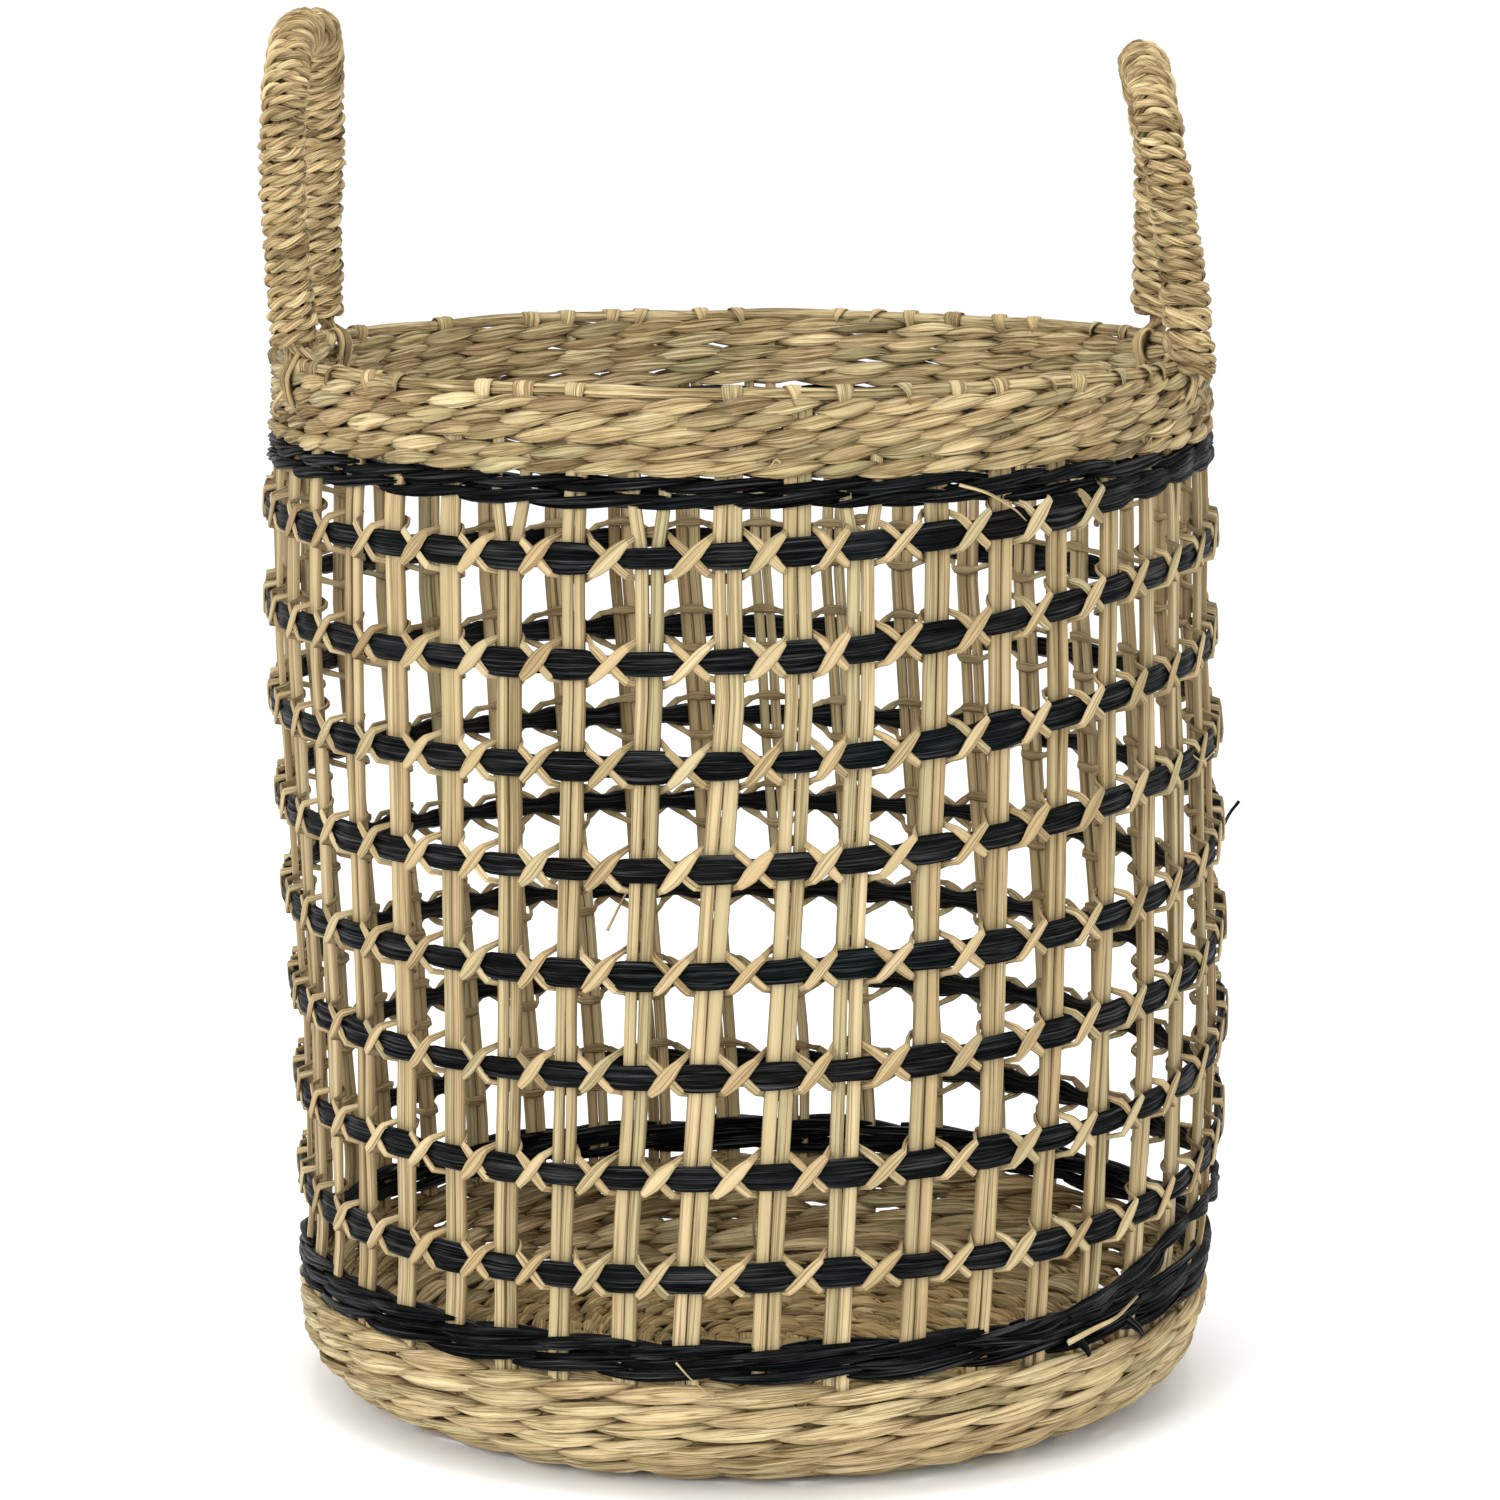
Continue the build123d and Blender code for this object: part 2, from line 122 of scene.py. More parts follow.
def stake_angle(number, height=STAND):
    """Direction of a stake, or of a place between two; the stakes lean as they climb.

    The last term takes the sway back out at the front and the back.
    """
    even = np.radians((number + 0.5) * 360 / STAKES)
    angle = even - CROWDING * np.sin(even)
    back = 1 - np.cos(angle)
    from_front = (np.degrees(angle) + 184) % 360 - 180
    lean = LEAN + LEAN_BACK * back + LEAN_FRONT * np.exp(-(from_front / 13) ** 2)
    fallen = np.clip((STAND - height) / LEAN_HEIGHT, -0.15, 1.1)
    place = np.mod(number, STAKES)
    nudge = np.interp(place, np.arange(STAKES + 1), NUDGES)
    twisted = angle + np.radians(TURNED + TURNED_BACK * back - lean * fallen + nudge)
    return twisted - sway(height) * np.cos(angle) / WALL


def ring_height(angle):
    """Height of the black strand's middle; the angle runs on over all its turns."""
    turns = angle / (2 * np.pi)
    rise = (RISE_BACK * (1 - np.cos(angle)) + RISE_RIGHT * np.sin(angle)
            + RISE_SIDES * np.sin(angle) ** 2)
    right = np.maximum(np.sin(angle), 0) ** 2 * (np.cos(angle) > 0)
    settled = np.interp(turns, np.arange(TURNS) + .13, RIGHT_SET)
    settled = settled * right * np.maximum(np.cos(angle), 0) * 2
    height = FRONT_HEIGHT + PITCH * turns + rise + settled
    first_rise = np.interp(np.degrees(angle), *FIRST_RISE)
    return np.where(angle < math.radians(FIRST_RISE[0][-1]), first_rise, height)


def spin(angle, out, height):
    """Vector from a direction, a distance out and a height."""
    angle, out, height = np.broadcast_arrays(angle, out, height)
    return np.stack([out * np.sin(angle), -out * np.cos(angle), height], -1)


def at(angle, out, height):
    """Point on the swaying wall."""
    point = spin(angle, out, height)
    point[..., 0] += sway(point[..., 2])
    return point


def radial(angle):
    return spin(angle, 1.0, 0.0)


def drift(count, knots, size):
    """Smooth random run of numbers."""
    values = rng.normal(0, size, knots)
    x = np.linspace(0, knots - 1, count)
    low = np.minimum(x.astype(int), knots - 2)
    return values[low] + (values[low + 1] - values[low]) * ease(x - low)


def wavy(size, lowest=2, highest=9):
    """Smooth random function of the angle that closes on itself."""
    orders = rng.integers(lowest, highest, 4)
    sizes = rng.normal(0, size / 2, 4)
    phases = rng.uniform(0, 2 * np.pi, 4)

    def value(angle):
        return sum(s * np.sin(o * angle + p) for o, s, p in zip(orders, sizes, phases))
    return value


# ---------------------------------------------------------------- strips
# Outlines of a strip: (across, through), both from -1 to 1.
STAKE = np.array([(-1, .2), (-.88, .95), (-.3, .85), (.2, 1), (.88, .9), (1, .2),
                  (1, -.3), (.86, -.95), (.1, -1), (-.3, -.9), (-.88, -.95), (-1, -.3)])
LEAF = np.array([(-1, 0), (-.74, .62), (-.28, 1), (.3, .9), (.76, .6), (1, 0),
                 (.72, -.6), (.25, -.9), (-.3, -.9), (-.74, -.6)])
BLADE = np.array([(-1, .1), (-.88, .75), (-.6, .95), (-.42, .5), (-.1, 1), (.3, .8), (.48, .4),
                  (.72, .95), (.93, .7), (1, 0), (.75, -.85), (.2, -1), (-.35, -.9), (-.85, -.75)])
FOLD = np.array([(-1, 0), (-.85, .55), (-.55, .9), (-.3, .5), (0, 1), (.35, .95), (.52, .5), (.8, .75),
                 (1, 0), (.8, -.6), (.3, -.9), (-.1, -.9), (-.45, -.9), (-.8, -.6)])
ROUND = np.array([(-1, 0), (-.77, .68), (-.25, .98), (.3, .95), (.8, .6), (1, 0),
                  (.77, -.64), (.25, -.97), (-.3, -.95), (-.8, -.6)])


class Bundle:
    """Collects strips into one mesh."""

    def __init__(self):
        self.points, self.quads, self.uvs, self.leaves = [], [], [], []
        self.count = 0

    def strip(self, path, facing, width, thick, section=LEAF, tone=.5, hue=.5, shade=1.0, crumple=0.0):
        """One strip along a path; facing is the outward side, crumple roughens its faces."""
        path = np.asarray(path, float)
        stations, corners = len(path), len(section)
        step = np.gradient(path, axis=0)
        along = step / np.linalg.norm(step, axis=1)[:, None]
        side = np.cross(along, np.broadcast_to(facing, path.shape))
        side /= np.linalg.norm(side, axis=1)[:, None]
        out = np.cross(side, along)
        across = section[:, 0] * np.broadcast_to(width, stations)[:, None] / 2
        if crumple:
            knots = max(4, stations // 3)
            rough = np.stack([drift(stations, knots, crumple) for _ in range(corners)], 1)
        else:
            rough = 0
        through = (section[:, 1] + rough) * np.broadcast_to(thick, stations)[:, None] / 2
        points = path[:, None] + side[:, None] * across[..., None] + out[:, None] * through[..., None]
        length = np.concatenate([[0], np.cumsum(np.linalg.norm(np.diff(path, axis=0), axis=1))])
        shift = rng.uniform(0, 900, 2)
        uv = np.empty((stations, corners, 2))
        uv[..., 0] = section[:, 0] * np.max(width) / 2 + shift[0]
        uv[..., 1] = length[:, None] + shift[1]
        leaf = np.ones((stations, corners, 4))
        for channel, value in enumerate((tone, hue, shade)):
            leaf[..., channel] = np.broadcast_to(value, stations)[:, None]
        # Painted shade: every strip darkens towards both of its edges.
        leaf[..., 2] *= 1 - .5 * np.abs(section[:, 0]) ** 4
        grid = np.arange(stations * corners).reshape(stations, corners)
        after = np.roll(grid, -1, 1)
        quads = [np.stack([grid[:-1], after[:-1], after[1:], grid[1:]], -1).reshape(-1, 4)]
        pairs = np.arange(corners // 2 - 1)
        cap = np.stack([pairs, pairs + 1, corners - 2 - pairs, corners - 1 - pairs], -1)
        quads += [cap[:, ::-1], cap + (stations - 1) * corners]
        self.points.append(points.reshape(-1, 3))
        self.uvs.append(uv.reshape(-1, 2))
        self.leaves.append(leaf.reshape(-1, 4))
        self.quads.append(np.concatenate(quads) + self.count)
        self.count += stations * corners

    def build(self, name, material, slot, body=None, replaces=()):
        """Make the mesh, with its body and the CAD nodes that it stands for."""
        points = np.concatenate(self.points) * 0.001
        quads = np.concatenate(self.quads).astype(np.int32)
        mesh = bpy.data.meshes.new(name)
        mesh.vertices.add(len(points))
        mesh.vertices.foreach_set("co", points.astype(np.float32).ravel())
        mesh.loops.add(quads.size)
        mesh.loops.foreach_set("vertex_index", quads.ravel())
        mesh.polygons.add(len(quads))
        mesh.polygons.foreach_set("loop_start", np.arange(0, quads.size, 4, dtype=np.int32))
        mesh.update(calc_edges=True)
        mesh.shade_smooth()
        mesh.set_sharp_from_angle(angle=math.radians(32))
        uv = mesh.uv_layers.new(name="UVMap")
        places = np.concatenate(self.uvs)[quads.ravel()] * 0.001
        uv.data.foreach_set("uv", places.astype(np.float32).ravel())
        leaf = mesh.color_attributes.new("leaf", "FLOAT_COLOR", "POINT")
        leaf.data.foreach_set("color", np.concatenate(self.leaves).astype(np.float32).ravel())
        mesh.materials.append(material)
        piece = bpy.data.objects.new(name, mesh)
        bpy.context.scene.collection.objects.link(piece)
        if body:
            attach(piece, body)
        if replaces:
            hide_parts(*replaces)
        return piece


# ---------------------------------------------------------------- materials
class Tree:
    """Short way to add nodes: a socket given as an input is linked, anything else is set."""

    def __init__(self, name):
        self.material = bpy.data.materials.new(name)
        self.material.use_nodes = True
        self.tree = self.material.node_tree
        self.tree.nodes.clear()

    def add(self, kind, output=0, settings=None, **inputs):
        node = self.tree.nodes.new("ShaderNode" + kind)
        for key, value in (settings or {}).items():
            setattr(node, key, value)
        for key, value in inputs.items():
            index = int(key[1:]) if key[0] == "i" and key[1:].isdigit() else key.replace("_", " ")
            if isinstance(value, bpy.types.NodeSocket):
                self.tree.links.new(value, node.inputs[index])
            else:
                node.inputs[index].default_value = value
        return node.outputs[output] if node.outputs else node

    def maths(self, operation, a, b=0.0, c=0.0, clamp=False):
        return self.add("Math", settings={"operation": operation, "use_clamp": clamp}, i0=a, i1=b, i2=c)

    def mix(self, factor, a, b, blend="MIX"):
        return self.add("Mix", output=2, settings={"data_type": "RGBA", "blend_type": blend},
                        i0=factor, i6=a, i7=b)

    def ramp(self, value, stops):
        node = self.tree.nodes.new("ShaderNodeValToRGB")
        self.tree.links.new(value, node.inputs[0])
        ramp = node.color_ramp
        while len(ramp.elements) < len(stops):
            ramp.elements.new(0.5)
        for element, (place, colour) in zip(ramp.elements, stops):
            element.position = place
            element.color = (*colour, 1)
        return node.outputs[0]

    def noise(self, vector, detail=3.0, roughness=0.6):
        return self.add("TexNoise", Vector=vector, Scale=1.0, Detail=detail, Roughness=roughness)


WHITE = (1, 1, 1, 1)
# tint of the painted shade in the creases and of the leaf's own darker fibre lines
CREASE_SHADE_AND_GRAIN_TINT = (.30, .24, .16, 1)
# brown towards which painted shade darkens tucked, hidden and edge parts
PAINTED_SHADE_TINT = (.26, .20, .13, 1)


def leaf_material(name, dark, middle, light, green, pink, fibre=(1250, 40), gloss=(.62, .5),
                  bump=.00035, specular=.30, contrast=1.0, crease_shade=.75, crease_across=430, hairs=.32):
    """Dry leaf: lengthwise fibres and creases, tone and hue by strip, painted shade in the creases and
    where the shade channel is low (tucked in, hidden, at an edge).
    """
    t = Tree(name)
    uv = t.add("UVMap", settings={"uv_map": "UVMap"})

    def stretched(across, along):
        return t.add("VectorMath", settings={"operation": "MULTIPLY"}, i0=uv, i1=(across, along, 1))
    fine = t.noise(stretched(*fibre), detail=4.0)
    streak = t.noise(stretched(crease_across, fibre[1] / 3), detail=2.0)
    blotch = t.noise(stretched(150, 70), detail=2.0)
    leaf = t.add("Attribute", settings={"attribute_name": "leaf"})
    parts = t.tree.nodes.new("ShaderNodeSeparateColor")
    t.tree.links.new(leaf, parts.inputs[0])
    tone, hue, shade = parts.outputs
    value = t.maths("MULTIPLY_ADD", fine, .7 * contrast, tone)
    value = t.maths("MULTIPLY_ADD", streak, .8 * contrast, value)
    value = t.maths("MULTIPLY_ADD", blotch, .5 * contrast, value)
    value = t.maths("SUBTRACT", value, 1.0 * contrast)
    colour = t.ramp(value, [(.08, dark), (.5, middle), (.95, light)])
    greener = t.maths("MULTIPLY", t.maths("SUBTRACT", hue, .5), 1.5, clamp=True)
    pinker = t.maths("MULTIPLY", t.maths("SUBTRACT", .5, hue), 1.5, clamp=True)
    colour = t.mix(greener, colour, (*green, 1))
    colour = t.mix(pinker, colour, (*pink, 1))

    def line(noise, width):
        away = t.maths("ABSOLUTE", t.maths("SUBTRACT", noise, .5))
        return t.maths("DIVIDE", away, width, clamp=True)
    # Crease lines are painted shade in the folds; hair lines are the leaf's own darker fibres.
    crease, hair = line(streak, .038), line(fine, .045)
    crease_shade_and_grain = t.maths("MULTIPLY", t.maths("MULTIPLY_ADD", crease, crease_shade, 1 - crease_shade),
                    t.maths("MULTIPLY_ADD", hair, hairs, 1 - hairs))
    colour = t.mix(1.0, colour, t.mix(crease_shade_and_grain, CREASE_SHADE_AND_GRAIN_TINT, WHITE), "MULTIPLY")
    # Painted shade: the colour darkens where the shade channel of the leaf attribute is low.
    tucked = t.mix(shade, PAINTED_SHADE_TINT, WHITE)
    colour = t.mix(1.0, colour, tucked, "MULTIPLY")
    height = t.maths("MULTIPLY_ADD", crease, .7, t.maths("MULTIPLY", fine, .9))
    normal = t.add("Bump", Strength=.9, Distance=bump, Height=height)
    rough = t.maths("MULTIPLY_ADD", fine, gloss[1] - gloss[0], gloss[0])
    shader = t.add("BsdfPrincipled", Base_Color=colour, Roughness=rough, Normal=normal)
    bright = t.maths("SUBTRACT", fine, .5, clamp=True)
    shine = t.maths("MULTIPLY_ADD", bright, specular * 9, specular * .1)
    t.tree.links.new(shine, shader.node.inputs["Specular IOR Level"])
    t.add("OutputMaterial", Surface=shader)
    return t.material


NATURAL = leaf_material("natural_leaf", (.14, .095, .043), (.42, .325, .166), (.68, .56, .325),
                        (.345, .33, .185), (.47, .315, .17))
INNER = leaf_material("floor_leaf", (.10, .065, .027), (.315, .222, .097), (.52, .395, .19),
                      (.26, .23, .105), (.36, .232, .10))
STRAW = leaf_material("straw", (.20, .138, .062), (.41, .313, .165), (.55, .44, .255),
                      (.335, .325, .185), (.435, .30, .157), fibre=(1150, 10), contrast=.6, crease_shade=.6,
                      crease_across=270, hairs=.16)
ROPE = leaf_material("cord_leaf", (.15, .102, .047), (.48, .365, .186), (.74, .595, .34),
                     (.39, .345, .185), (.50, .34, .175), fibre=(1400, 55))
BLACK = leaf_material("black_leaf", (.0010, .0013, .0015), (.0030, .0036, .0040), (.012, .015, .016),
                      (.002, .0060, .0063), (.005, .004, .003), fibre=(1000, 22), gloss=(.34, .58),
                      bump=.0008, specular=.36)


# ---------------------------------------------------------------- woven rows
LOWER_BLACK_ROWS = (48.2, 52.5, 56.7)
UPPER_BLACK_ROWS = (359.9, 365.0)
RIM_ROWS = (370.9, 376.2, 381.5, 386.8, 392.0)
FOOT_SLANT = 1.8
FLOOR_SLANT = 2.4
FLOOR_PITCH = 5.6
PATCH_PITCH, PATCH_WIDTH = 9.1, 8.4     # the strips of the starting patch


class Row:
    """One row of weaving: its middle line at (radius, height) and the way its outside faces."""

    def __init__(self, radius, height, turn=90.0, lift=None, swell=None):
        self.radius, self.height = radius, height
        self.out = (math.sin(math.radians(turn)), -math.cos(math.radians(turn)))
        self.up = (math.cos(math.radians(turn)), math.sin(math.radians(turn)))
        self.lift = lift or (lambda angle: 0 * angle)
        self.swell = swell or (lambda angle: 0 * angle)

    def path(self, angle, depth, rise):
        """Points this far outwards and upwards of the row's middle line."""
        depth = depth + self.swell(angle)
        rise = rise + self.lift(angle)
        radius = self.radius + self.out[0] * depth + self.up[0] * rise
        return at(angle, radius, self.height + self.out[1] * depth + self.up[1] * rise)

    def facing(self, angle, tilt=0.0, side=1):
        """The way a strand on the outside (side 1) or the inside (-1) faces."""
        out, up = side * np.cos(tilt), np.sin(tilt)
        return spin(angle, self.out[0] * out + self.up[0] * up, self.out[1] * out + self.up[1] * up)


def leaf_tone(spread=.15, middle=.5):
    return float(np.clip(rng.normal(middle, spread), .05, .95))


def strokes(bundle, row, side, width, slant, spacing=1, reach=.56, depth=1.3, bulge=1.5, thick=2.9,
            tip=.42, blunt=1.9, tone=.5, hue_spread=.13, section=FOLD, crumple=.12):
    """The strand that shows on one face of a row: it passes one stake, then goes through the wall."""
    phase = rng.uniform(0, 1) * spacing
    for number in np.arange(0, STAKES - .01, spacing):
        s = np.linspace(-1, 1, 11)
        reached = reach * spacing * rng.uniform(.94, 1.12)
        angle = stake_angle(number + phase + rng.normal(0, .04) + s * reached, row.height)
        lens = np.clip(1 - np.abs(s) ** blunt, 0, 1) ** .8
        deep = depth + bulge * (1 - s * s) * rng.uniform(.8, 1.2) - 1.1 * np.abs(s) ** 4
        rise = slant * side * (s + .25 * np.sin(np.pi * s)) * rng.uniform(.8, 1.15) + rng.normal(0, .25)
        rise = rise + rng.normal(0, .3) * np.cos(s * 2.4)
        big = rng.uniform(.84, 1.12)
        tilt = rng.normal(0, .22) + .35 * s * np.sign(slant)
        # Painted shade: the shade channel darkens both ends, where the stroke goes into the wall.
        bundle.strip(row.path(angle, side * deep, rise), row.facing(angle, tilt, side),
                     width * big * (tip + (1 - tip) * lens), thick * (.55 + .45 * lens), section,
                     tone=leaf_tone(.15, tone), hue=float(rng.normal(.5, hue_spread)),
                     shade=1 - .7 * np.abs(s) ** 4, crumple=crumple)


def row_core(bundle, row, height, tone=.3):
    """Where the two strands of a row cross inside the wall."""
    angle = np.linspace(0, 2 * np.pi, 241)
    ripple = .5 * np.sin(angle * STAKES / 2)
    # Painted shade: the hidden middle gets a low tone (.3) and shade (.4).
    bundle.strip(row.path(angle, ripple, 0), row.facing(angle), height, 1.8, LEAF, tone=tone, shade=.4)


def wall_rows(bundle, heights, width, slant, core, tones=(.5, .5), **looks):
    """Upright rows; width and slant are of the strokes, core is the height of the hidden middle."""
    for height in heights:
        row = Row(wall_radius(height), height, lift=wavy(.4), swell=wavy(.3))
        row_core(bundle, row, core)
        for side, tone in zip((1, -1), tones):
            strokes(bundle, row, side, width * rng.uniform(.95, 1.05), slant, tone=tone, **looks)


def foot_rows(bundle):
    """Rows that turn from the floor up round the puffed bottom corner."""
    centre = wall_radius(CORNER_Z) - CORNER_RADIUS
    for turn in np.linspace(3, 87, 9):
        radians_turn = math.radians(turn)
        puff = 2.6 * math.exp(-((turn - 42) / 22) ** 2)
        row = Row(centre + puff + CORNER_RADIUS * math.sin(radians_turn),
                  CORNER_Z - CORNER_RADIUS * math.cos(radians_turn) + 1.4 * math.exp(-turn / 20),
                  turn, wavy(.7), wavy(.4))
        row_core(bundle, row, 3.6)
        strokes(bundle, row, 1, 8.0, FOOT_SLANT, spacing=1.33, reach=.72, depth=1.2, bulge=1.5,
                thick=3.3, tip=.12, blunt=1.7, tone=.62)
        strokes(bundle, row, -1, 7.4, FOOT_SLANT, depth=1.1, bulge=1.2, tone=.36)


def floor_rows(bundle):
    """Rings of twining; now and then one slants the other way."""
    radius = FLOOR_EDGE - 2.5
    while radius > PATCH_RADIUS:
        row = Row(radius, FLOOR_MIDDLE, 0, wavy(.5), None)
        row_core(bundle, row, 4.6)
        spacing = 1 if radius > 62 else 2
        slant = FLOOR_SLANT if rng.random() < .75 else -FLOOR_SLANT
        for side in (1, -1):
            strokes(bundle, row, side, 6.4 + radius / 90, slant, spacing=spacing, reach=.60, depth=.9,
                    bulge=1.3, thick=2.7, tone=.5)
        radius -= FLOOR_PITCH


def start_patch(bundle):
    """Two layers of crossed strips in the middle of the floor."""
    reach = PATCH_RADIUS + 1.5
    for number in range(-3, 4):
        shift = number * PATCH_PITCH
        half = math.sqrt(reach ** 2 - min(abs(shift), reach - 6) ** 2)
        x = np.linspace(-half, half, 40)
        wave = 1.25 * np.cos(np.pi * x / PATCH_PITCH + np.pi * number)
        for sign, order in ((1, (0, 1)), (-1, (1, 0))):
            path = np.zeros((40, 3))
            path[:, order[0]], path[:, order[1]] = x, shift + drift(40, 5, .3)
            path[:, 2] = 4.2 + sign * wave
            bundle.strip(path, (0, 0, 1), PATCH_WIDTH + drift(40, 6, .3), 2.0, STAKE, tone=leaf_tone(),
                         hue=float(rng.normal(.5, .12)), crumple=.12)


# ---------------------------------------------------------------- stakes and openwork
STAKE_SPAN = (38.0, 392.5)
HALF_APART = 2.5                        # half the distance between the two strips of a stake
STRIP_WIDTH, STRIP_THICKNESS = 4.75, 2.1
BLADE_WIDTH = 9.9                       # of the black strand where it passes a stake
BLADE_WAIST = 3.4                       # how much narrower it is between two stakes
BLADE_OUT = 2.75                        # how far its middle stands off the stakes
TIE_REACH = (7.4, 8.8)                  # how far the ties pass above and below it


def stake_strips(first):
    """Every second stake pair: two flat strips side by side, some splayed below the upper band."""
    bundle = Bundle()
    for number in range(first, STAKES, 2):
        height = np.linspace(*STAKE_SPAN, 60)
        share = np.linspace(0, 1, 60)
        lean = rng.normal(0, .010)
        narrow = rng.uniform(.85, 1.08)
        splay = rng.uniform(1.5, 4.5) if rng.random() < .35 else rng.uniform(-.3, .3)
        fan = splay * ease((height - 338) / 26)
        shared = drift(60, 7, .45)
        for side in (-1, 1):
            offset = side * (HALF_APART * narrow + fan) + shared + drift(60, 8, .18)
            angle = stake_angle(number, height) + lean * (share - .5) + offset / WALL
            out = wall_radius(height) + drift(60, 9, .3) + side * rng.normal(0, .25)
            bundle.strip(at(angle, out, height), radial(angle),
                         STRIP_WIDTH * narrow + drift(60, 7, .18),
                         STRIP_THICKNESS + drift(60, 6, .12), STAKE,
                         tone=leaf_tone(.14, .55) + drift(60, 5, .05),
                         hue=float(rng.normal(.5, .13)) + drift(60, 3, .06), crumple=.06)
    return bundle


def turn_span(turn, before=0.0, after=0.0):
    """Stake numbers where one turn of the openwork starts and ends."""
    start = FIRST_START + (turn - 1) * STAKES
    end = start + STAKES
    if turn == 1:
        start -= before
    if turn == TURNS:
        end += after - SHORTFALL
    return start, end


def openwork_blade(turn):
    """The flat black strand: wide over each stake, drawn in between two."""
    bundle = Bundle()
    start, end = turn_span(turn, 6.6, 5.0)
    number = np.arange(start - .3, end + .3, 1 / 12)
    angle = stake_angle(number, ring_height(stake_angle(number)))
    height = ring_height(angle) + drift(len(number), int(len(number) / 30) + 2, .35)
    near = np.abs((number + .5) % 1 - .5) * 2
    fullness = 1 + drift(len(number), int(len(number) / 12) + 2, .12)
    fullness = fullness * (1 - .25 * (turn == 1) * ease((FIRST_START + 1.5 - number) / 2))
    width = (BLADE_WIDTH - BLADE_WAIST * ease((near - .34) / .62)) * fullness
    ends = np.minimum(np.arange(len(number)), np.arange(len(number))[::-1]) / 5
    width = width * (.35 + .65 * ease(ends))
    out = wall_radius(height) + BLADE_OUT + .9 * (1 - near ** 2) - .5 * near
    # Painted shade: the shade channel darkens the strand between stakes, where it is drawn in.
    bundle.strip(at(angle, out, height), radial(angle), width, 2.3 + .7 * (1 - near), BLADE,
                 tone=.5 + drift(len(number), int(len(number) / 12) + 2, .12),
                 hue=.5 + drift(len(number), int(len(number) / 24) + 2, .16),
                 shade=1 - .35 * near ** 3, crumple=.16)
    return bundle


def rising_strands(bundle):
    """Ends of the black strand that leave the lower band beside the first turn, on the right."""
    for start, end, drop, width in ((24, 60, 5.5, 3.4), (40, 72, 14.0, 3.2)):
        angle = np.radians(np.linspace(start, end, 40))
        share = np.linspace(0, 1, 40)
        climb = ring_height(angle - 2 * np.pi) - drop * ease(share * 1.5)
        height = np.maximum(climb, 50.0 + drift(40, 5, .5))
        out = wall_radius(height) + 3.6 + np.sin(share * 9 + drop) - 3.5 * ease((share - .88) / .12)
        taper = .4 + .6 * ease(np.minimum(share, 1 - share) * 8)
        bundle.strip(at(angle, out, height), radial(angle), width * taper, 1.9, BLADE,
                     tone=.5 + drift(40, 6, .12), hue=.5 + drift(40, 4, .14), crumple=.2)


def black_tails(bundle):
    """Cut ends of the black strands: two hang over the foot, one stands off the openwork."""
    for angle, knots, width in ((.745, ((3.4, 51, -5), (5.4, 46.5, 0), (5.4, 42.5, 3)), 4.6),
                                (.917, ((3.4, 51, -4), (5.6, 46.5, 1), (5.2, 43.0, 5)), 4.2),
                                (1.50, ((3.5, 214, 0), (6.5, 220, 2), (11.0, 226, 4)), 1.8)):
        path = curve([at(angle + side / WALL, wall_radius(height) + out, height)
                      for out, height, side in knots], 10)
        bundle.strip(path, radial(angle), width * np.linspace(1, .45, 10), 1.2, BLADE, crumple=.2)


def openwork_ties(turn):
    """Two strips that cross over the strand between stakes and pass behind each stake."""
    bundle = Bundle()
    start, end = turn_span(turn, 0, 1.0)
    first, last = int(math.ceil(start)), int(math.floor(end))
    for side in (1, -1):
        number = np.arange(first - 1, last + 1, 1 / 14)
        gap = np.floor(number + 1e-6)
        share = number - gap
        angle = stake_angle(number, ring_height(stake_angle(number)))
        sign = side * np.where(gap % 2 == 0, 1, -1)
        gaps = (gap - gap.min()).astype(int)
        count = gaps.max() + 1
        reach = rng.uniform(*TIE_REACH, count + 1)
        level = reach[gaps] + (reach[gaps + 1] - reach[gaps]) * share
        swing = -np.sin(np.clip((share - .5) / .43, -1, 1) * np.pi / 2)
        height = ring_height(angle) + sign * level * swing
        height = height + rng.normal(0, .35, count)[gaps] * (1 - swing ** 2)
        over = sign < 0
        inside = np.minimum(share, 1 - share)
        front = wall_radius(height) + np.where(over, 5.0, 4.2)
        behind = wall_radius(height) - 2.0 - .5 * (side > 0)
        out = behind + (front - behind) * ease((inside - .165) / .13)
        middle = np.where(over, rng.uniform(3.8, 5.8, count)[gaps], rng.uniform(2.6, 4.2, count)[gaps])
        narrow = np.interp(inside, [0, .12, .20, .30], [4.2, 3.4, 2.1, 3.0])
        width = narrow + (middle - 3.0) * ease((inside - .26) / .2)
        tone = np.clip(rng.normal(.6, .13, count), .2, .95)[gaps]
        hue = rng.normal(.5, .12, count)[gaps]
        # Painted shade: the shade channel darkens each tie where it passes behind a stake.
        bundle.strip(at(angle, out, height), radial(angle), width, 1.1, FOLD, tone=tone, hue=hue,
                     shade=.55 + .45 * ease((inside - .12) / .12), crumple=.14)
    return bundle


# ---------------------------------------------------------------- rim
TABS = 58                  # places for a folded stake end; about one in five is empty


def rim_rod():
    """Leaf that covers the rod."""
    bundle = Bundle()
    angle = np.linspace(0, 2 * np.pi, 361)
    lift, swell = wavy(.3, 3, 14), wavy(.25, 3, 14)
    path = at(angle, wall_radius(ROD_Z) + .4 + swell(angle), ROD_Z + lift(angle))
    bundle.strip(path, radial(angle), 4.5 + wavy(.4, 5, 30)(angle), 3.6, FOLD,
                 tone=.5 + wavy(.16, 3, 24)(angle), hue=.56 + wavy(.10, 2, 9)(angle), crumple=.10)
    return bundle


